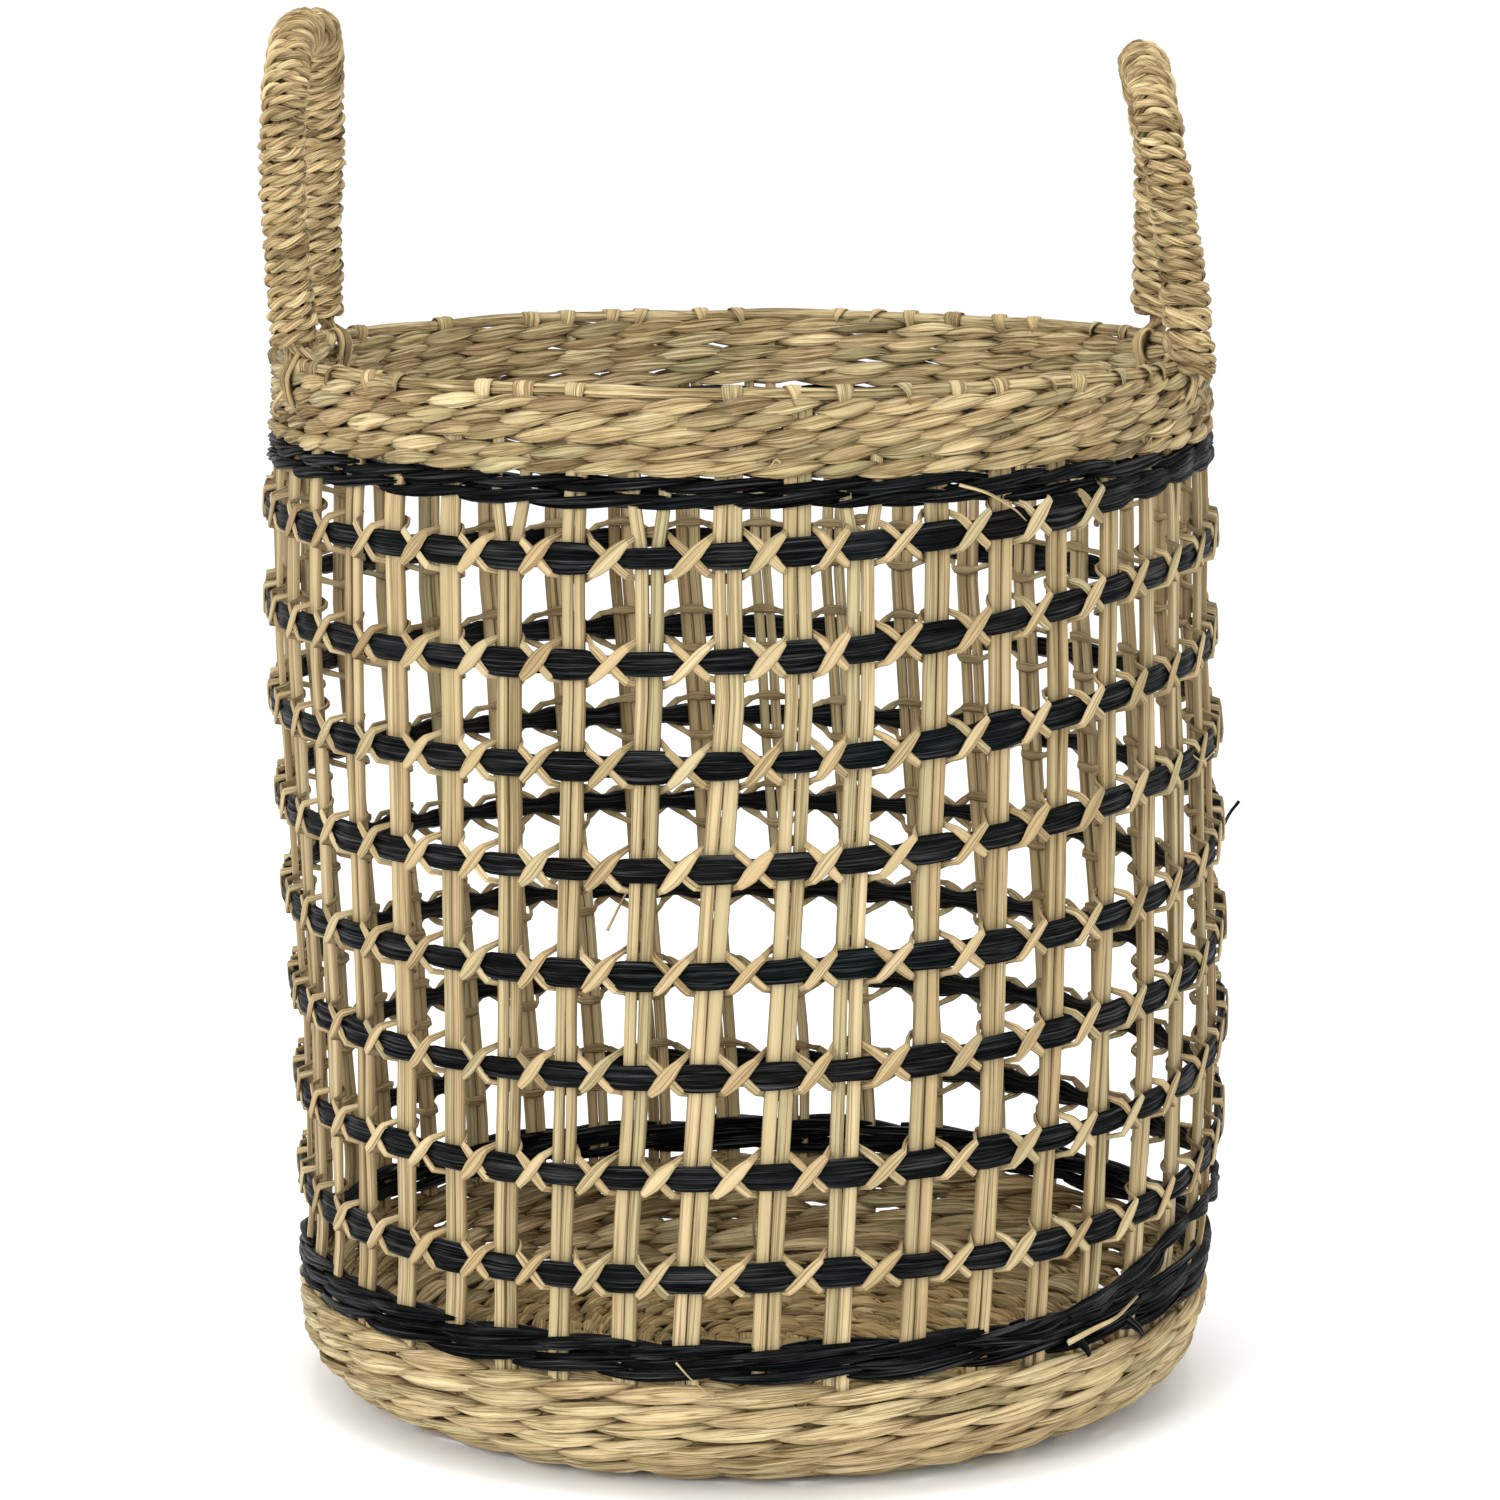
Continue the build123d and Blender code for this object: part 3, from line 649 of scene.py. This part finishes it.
def rim_tabs():
    """Stake ends folded over the rod and tucked into the top row."""
    bundle = Bundle()
    places = np.arange(0, TABS)
    for number in places[rng.random(len(places)) > .22]:
        angle = 2 * np.pi * (number + rng.uniform(-.25, .25)) / TABS
        width = rng.uniform(5.5, 8.5)
        over = np.linspace(.15, np.pi - .15, 7)
        out = np.concatenate([[-.2, -2.1], -2.4 * np.cos(over), [2.2, .2]])
        up = np.concatenate([[-4.6, -2.4], 2.75 * np.sin(over), [-2.4, -4.6]])
        lean = rng.normal(0, .012) * np.linspace(-1, 1, len(out))
        path = at(angle + lean, wall_radius(ROD_Z) + .4 + out, ROD_Z + up)
        facing = path - at(angle, wall_radius(ROD_Z) + .4, ROD_Z - 4.0)
        share = np.linspace(0, 1, len(out))
        # Painted shade: the shade channel darkens both ends, where the tab is tucked into the row.
        bundle.strip(path, facing, width * np.interp(share, [0, .2, .8, 1], [.7, 1, 1, .7]), .9, FOLD,
                     tone=leaf_tone(.14, .54), hue=float(rng.normal(.5, .12)),
                     shade=np.interp(share, [0, .2, .8, 1], [.5, 1, 1, .55]), crumple=.2)
    return bundle


# ---------------------------------------------------------------- handles
BOW_HEIGHT = 112.0         # a bow is given by the share of this height
RIGHT_BOW = ((0, .3, .6, 1), (-1.0, -1.0, .2, -1.0))            # both legs of the right handle
RIGHT_SKEW = ((0, .18, .35, .63, 1), (.2, .35, 1.8, 3.5, 3.0))  # its front leg against its back
CORD_PITCH = 4.4
CORD_LAY = 17.0            # length in which the two plies twist once
CORD_RING = 6.5            # from the handle's middle to the middle of its cord
PLY_WIDTH, PLY_THICKNESS = 3.2, 2.3
PLY_OUT, PLY_ALONG = .9, 1.15               # how far a ply twists off the cord's middle
# Where the cord and the straws start, up the leg. On the right they start further up, so that
# they stay clear of the rim as the handle swings.
CORD_START = {-1: 1.0, 1: 3.4}
STRAW_START = {-1: .5, 1: 4.0}


def handle_line(side, distance):
    """Points (y, height above the hinge) on the handle's middle line, and its length."""
    top = HANDLE_TOPS[side] - WRAP_RADIUS - HINGE_Z
    shoulder, flat, bend = top - HANDLE_CORNER, LEG_Y - HANDLE_CORNER, HANDLE_CORNER * np.pi / 2
    total = 2 * shoulder + 2 * bend + 2 * flat
    half = np.minimum(distance, total - distance)
    turn = np.clip((half - shoulder) / HANDLE_CORNER, 0, np.pi / 2)
    past = np.maximum(half - shoulder - bend, 0)
    y = -flat - HANDLE_CORNER * np.cos(turn) + past
    z = np.minimum(half, shoulder) + HANDLE_CORNER * np.sin(turn)
    return np.where(distance <= total / 2, y, -y), z, total


def handle_points(side, distance):
    """The same line as (x, y, height), with the lean and the slight bow of this handle."""
    y, z, total = handle_line(side, distance)
    share = np.clip(z / BOW_HEIGHT, 0, 1)
    if side < 0:
        bow = np.where(y < 0, 2.5 - 4.0 * np.sin(share * 2.4), .5 + 2.0 * share) + 1.5 * share ** 3
        x, height = -HANDLE_X - LEFT_SHIFT + bow, z
    else:
        bow = np.where(y < 0, 3.5, 5.0) * (1 - share) ** 2 + 3.0 * share ** 4
        bow = bow - np.interp(share, *RIGHT_BOW)
        bow = bow - np.interp(share, *RIGHT_SKEW) * y / LEG_Y
        x, height = HANDLE_X - z * math.sin(RIGHT_LEAN) - bow, z * math.cos(RIGHT_LEAN)
    return np.stack([x, y, HINGE_Z + height], -1), total


def frame_along(points):
    """Directions along a line that lies across X, and two square to it."""
    tangent = np.gradient(points, axis=0)
    tangent /= np.linalg.norm(tangent, axis=1)[:, None]
    across = np.cross(tangent, np.broadcast_to((1.0, 0, 0), points.shape))
    across /= np.linalg.norm(across, axis=1)[:, None]
    return tangent, np.cross(across, tangent), across


def wind(bundle, line, smooth_line, direction, flare=0.0):
    """Two-ply cord wound tightly round a line, one turn every CORD_PITCH."""
    count = len(line)
    length = np.linalg.norm(np.diff(smooth_line, axis=0), axis=1).sum()
    turns = length / CORD_PITCH
    share = np.linspace(0, 1, count)
    tangent, first, second = frame_along(smooth_line)
    around = share * turns * 2 * np.pi * direction
    swell = 1 + flare * ease(1 - np.minimum(share, 1 - share) / .12)
    ring = (CORD_RING * swell + drift(count, int(turns) * 3, .28))[:, None]
    outward = first * np.cos(around)[:, None] + second * np.sin(around)[:, None]
    line = line + outward * ring
    run = np.concatenate([[0], np.cumsum(np.linalg.norm(np.diff(line, axis=0), axis=1))])
    slip = drift(count, int(turns) * 2, .8)
    tones = [np.clip(.52 + drift(count, int(turns * 1.3), .16), .1, .95) for _ in range(2)]
    for ply in (0, 1):
        twist = 2 * np.pi * run / CORD_LAY + ply * np.pi + slip
        fat = 1 + drift(count, int(turns) * 4, .12)
        away = (outward * (PLY_OUT * np.cos(twist) * fat)[:, None]
                + tangent * (PLY_ALONG * np.sin(twist) * fat)[:, None])
        facing = outward + tangent * (.75 * np.sin(twist))[:, None]
        # Painted shade: the shade channel darkens each ply where it twists into the cord.
        bundle.strip(line + away, facing, PLY_WIDTH * fat, PLY_THICKNESS * fat, FOLD, tone=tones[ply],
                     hue=.5 + drift(count, int(turns), .10),
                     shade=.6 + .4 * ease(.5 + .8 * np.cos(twist)), crumple=.22)


def handle_cord(side):
    """The cord of one handle, from root to root."""
    bundle = Bundle()
    total = handle_points(side, np.zeros(1))[1]
    start = CORD_START[side]
    turns = (total - 2 * start) / CORD_PITCH
    count = int(turns * 36)
    distance = np.linspace(start, total - start, count)
    smooth_line, _ = handle_points(side, distance)
    line, _ = handle_points(side, distance + drift(count, int(turns) * 2, .35))
    wind(bundle, line, smooth_line, -side, .10)
    return bundle


def handle_straws(side):
    """The bundle of straw inside the wrapping."""
    bundle = Bundle()
    total = handle_points(side, np.zeros(1))[1]
    start = STRAW_START[side]
    distance = np.linspace(start, total - start, 120)
    points, _ = handle_points(side, distance)
    _, first, second = frame_along(points)
    for number in range(6):
        turn = number * np.pi / 3 + distance / 90
        away = first * np.cos(turn)[:, None] + second * np.sin(turn)[:, None]
        # Painted shade: the straws under the cord are darkened by shade .6.
        bundle.strip(points + away * 2.9, away, 3.6, 3.0, ROUND, tone=leaf_tone(.1, .4), shade=.6)
    return bundle


def curve(knots, count):
    """Smooth run through a few points."""
    knots = np.asarray(knots, float)
    x = np.linspace(0, len(knots) - 1, count)
    low = np.clip(x.astype(int), 0, len(knots) - 2)
    t = (x - low)[:, None]
    padded = np.vstack([2 * knots[0] - knots[1], knots, 2 * knots[-1] - knots[-2]])
    a, b, c, d = (padded[low + i] for i in range(4))
    return .5 * (2 * b + (c - a) * t + (2 * a - 5 * b + 4 * c - d) * t ** 2
                 + (3 * b - a - 3 * c + d) * t ** 3)


def handle_root(side, end):
    """Where one leg is tied in: its straws run down over the rim outside and inside.

    The front legs also have a curled end, and the cord of the right one reaches down to the rod.
    """
    bundle = Bundle()
    y = end * LEG_Y
    foot = handle_points(side, np.array([2.0]))[0][0] * (1, 0, 1) + (0, y, 0)
    angle = math.atan2(side * HANDLE_X, -y)
    for number in range(8):
        outside = number < 5
        spread = (side * (number - 1.0) * 2.0 if outside else (number - 6) * 4.0) / WALL
        turn = np.pi * 2 * number / 8
        start = foot + np.array((2.8 * math.cos(turn), 2.8 * math.sin(turn), 5.0))
        here = angle + spread + rng.normal(0, .006)
        if outside:
            bottom = rng.uniform(383, 389)
            places = ((397.5, 4.4), (392, 6.4), (bottom, 4.6), (bottom - 5, 1.0))
        else:
            bottom = rng.uniform(380, 388)
            places = ((397.0, -4.2), (391, -5.4), (bottom, -3.6), (bottom - 4, -.5))
        knots = [start, start - (0, 0, 6)] + [at(here, wall_radius(h) + out, h) for h, out in places]
        path = curve(knots, 18)
        away = path * (1, 1, 0) * (1 if outside else -1)
        share = np.linspace(0, 1, 18)
        taper = np.interp(share, [0, .8, 1], [1, 1, .4])
        # Painted shade: the shade channel darkens the straws at their top, where they come out of the
        # wrapping.
        bundle.strip(path, away, rng.uniform(2.6, 3.6) * taper, 1.9 * taper, LEAF,
                     tone=leaf_tone(.14, .5), hue=float(rng.normal(.5, .1)),
                     shade=np.interp(share, [0, .25, 1], [.5, .8, 1]), crumple=.12)
    if end < 0:
        curl = np.linspace(0, 1.35 * np.pi, 16)
        hook = at(angle + side * (.016 + .022 * np.sin(curl)),
                  wall_radius(380) + 6.2 + 1.8 * (1 - np.cos(curl)),
                  386 - 6.0 * np.linspace(0, 1, 16) + 2 * np.cos(curl))
        bundle.strip(hook, hook * (1, 1, 0), 2.4 * np.linspace(1, .5, 16), 1.6, LEAF,
                     tone=.42, crumple=.12)
    if side > 0 and end < 0:
        height = np.linspace(395.0, 406.2, 95)
        post = foot * (1, 1, 0) + height[:, None] * (0, 0, 1) + (1.2, 0, 0)
        wind(bundle, post, post, -side)
    loop = np.linspace(.3, 1.7 * np.pi, 22)
    beside, inside = angle - end * side * .03, wall_radius(396) - 3.5
    belt = at(beside, inside + 3.2 * np.cos(loop), 394 + 6.0 * np.sin(loop))
    bundle.strip(belt, belt - at(beside, inside, 394), 4.0, 1.1, FOLD, tone=.55, crumple=.1)
    return bundle


# ---------------------------------------------------------------- loose fibres
def strays():
    """A few long loose fibres in their places, and short ones anywhere on the natural rows."""
    bundle = Bundle()

    def fibre(angle, height, out, knots, width, tone):
        """Knots are (sideways, outwards, up) from the place where the fibre comes out."""
        points = [at(angle + side / WALL_FACE, wall_radius(height) + out + away, height + up)
                  for side, away, up in knots]
        path = curve(points, 16)
        bundle.strip(path, radial(angle), width * np.linspace(1, .35, 16), width * .4, LEAF, tone=tone)
    fibre(.44, 364, 4.5, [(0, 0, 0), (9, 4, -3), (20, 3, -9), (27, 1, -14)], 1.3, .7)
    fibre(-.16, 49, 4.5, [(0, 0, 4), (7, 2, -2), (17, 3, -9)], .8, .8)
    fibre(-.30, 213, -3, [(0, 0, -6), (6, -4, 6), (12, -9, 16)], 1.2, .35)
    fibre(.02, 118, -2, [(-3, 0, 5), (-6, -3, -18), (-2, -2, -42), (1, 0, -58)], 1.1, .2)
    fibre(1.15, 255, 3, [(0, 0, 0), (3, 4, -3), (5, 9, 2)], 1.0, .5)
    fibre(.70, 50, 5.6, [(0, -1, -1), (12, .6, 2.5), (24, .6, 4.5), (38, -1, 9)], 2.6, .7)
    for _ in range(16):
        sideways = rng.uniform(-9, 9)
        fibre(rng.uniform(0, 2 * np.pi), rng.choice([372, 378, 386, 51, 40]) + rng.uniform(-2, 2), 4.2,
              [(0, 0, 0), (sideways * .5, rng.uniform(1, 3), rng.uniform(-2, 3)),
               (sideways, rng.uniform(.5, 4), rng.uniform(-5, 4))],
              rng.uniform(.5, 1.0), leaf_tone(.15, .6))
    return bundle


# ---------------------------------------------------------------- the pieces
patch = Bundle()
start_patch(patch)
patch.build("start_patch_leaves", INNER, "floor_seagrass", "basket", ["floor_start_patch"])
floor = Bundle()
floor_rows(floor)
floor.build("floor_rows", INNER, "floor_seagrass", "basket", ["floor_weave"])
foot = Bundle()
foot_rows(foot)
foot.build("foot_rows", NATURAL, "natural_seagrass", "basket", ["foot_weave"])
stake_strips(0).build("long_stake_strips", STRAW, "straw_stakes", "basket", ["long_stakes"])
stake_strips(1).build("short_stake_strips", STRAW, "straw_stakes", "basket", ["short_stakes"])
lower = Bundle()
wall_rows(lower, LOWER_BLACK_ROWS, 4.6, 1.6, 1.2, spacing=1.6, reach=.66, tip=.3,
          section=BLADE, crumple=.2)
rising_strands(lower)
black_tails(lower)
lower.build("lower_black_rows", BLACK, "black_seagrass", "basket", ["lower_black_band"])
for turn in range(1, TURNS + 1):
    openwork_blade(turn).build(f"openwork_blade_{turn}", BLACK, "black_seagrass", "basket",
                               [f"openwork_strand_{turn}"])
    openwork_ties(turn).build(f"openwork_ties_{turn}", STRAW, "straw_stakes", "basket",
                              [f"openwork_lashing_{turn}"])
upper = Bundle()
wall_rows(upper, UPPER_BLACK_ROWS, 4.9, 1.5, .9, spacing=4 / 3, reach=.66, tip=.25,
          section=BLADE, crumple=.2)
upper.build("upper_black_rows", BLACK, "black_seagrass", "basket", ["upper_black_band"])
rim = Bundle()
wall_rows(rim, RIM_ROWS, 6.4, 1.3, .9, (.42, .55), spacing=.8, reach=.70, tip=.10,
          blunt=1.7, thick=3.3)
rim.build("rim_rows", NATURAL, "natural_seagrass", "basket", ["rim_weave"])
rim_rod().build("rim_rod_leaf", NATURAL, "natural_seagrass", "basket", ["rim_rod"])
rim_tabs().build("rim_tabs", NATURAL, "straw_stakes", "basket", ["rim_bindings"])
for name, side in (("left", -1), ("right", 1)):
    body = f"{name}_handle"
    handle_straws(side).build(f"{name}_handle_straws", STRAW, "straw_stakes", body,
                              [f"{name}_handle_core"])
    handle_cord(side).build(f"{name}_handle_cord", ROPE, "rope_cord", body, [f"{name}_handle_wrap"])
    for place, end in (("front", -1), ("back", 1)):
        root = handle_root(side, end).build(f"{name}_{place}_root", ROPE, "straw_stakes",
                                            replaces=[f"{name}_{place}_lashing"])
        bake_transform(root)
strays().build("loose_fibres", NATURAL, "natural_seagrass", "basket")

# ---------------------------------------------------------------- floor, light and camera
bpy.ops.mesh.primitive_plane_add(size=80)
ground = bpy.context.object
ground.name = "studio_floor"
pale = bpy.data.materials.new("pale_floor")
pale.use_nodes = True
pale.node_tree.nodes["Principled BSDF"].inputs["Base Color"].default_value = (.96, .96, .96, 1)
pale.node_tree.nodes["Principled BSDF"].inputs["Roughness"].default_value = .8
ground.data.materials.append(pale)

world = bpy.data.worlds.new("studio")
world.use_nodes = True
world.node_tree.nodes["Background"].inputs["Color"].default_value = (1, 1, 1, 1)
world.node_tree.nodes["Background"].inputs["Strength"].default_value = 1.06
bpy.context.scene.world = world


def area_light(name, place, aim, size, power):
    data = bpy.data.lights.new(name, "AREA")
    data.size, data.energy = size, power
    light = bpy.data.objects.new(name, data)
    light.location = place
    toward = np.array(aim) - np.array(place)
    light.rotation_euler = Vector(toward).to_track_quat("-Z", "Y").to_euler()
    bpy.context.scene.collection.objects.link(light)


area_light("key", (-1.2, -2.2, 1.1), (0, 0, .2), 1.0, 42)
area_light("fill", (1.8, -1.6, .7), (0, 0, .2), 1.6, 14)
area_light("top", (0, -.2, 2.4), (0, 0, .2), 1.2, 22)

CAMERA_PLACE = (0, -1.914, .561)
CAMERA_LENS = 121.97
CAMERA_TILT = 9.4          # degrees below level

camera = bpy.data.objects.new("camera", bpy.data.cameras.new("camera"))
camera.data.lens, camera.data.sensor_width = CAMERA_LENS, 36
camera.location = CAMERA_PLACE
camera.rotation_euler = (math.radians(90 - CAMERA_TILT), 0, 0)
camera.data.clip_end = 200
bpy.context.scene.collection.objects.link(camera)
bpy.context.scene.camera = camera
bpy.context.scene.view_settings.view_transform = "Standard"
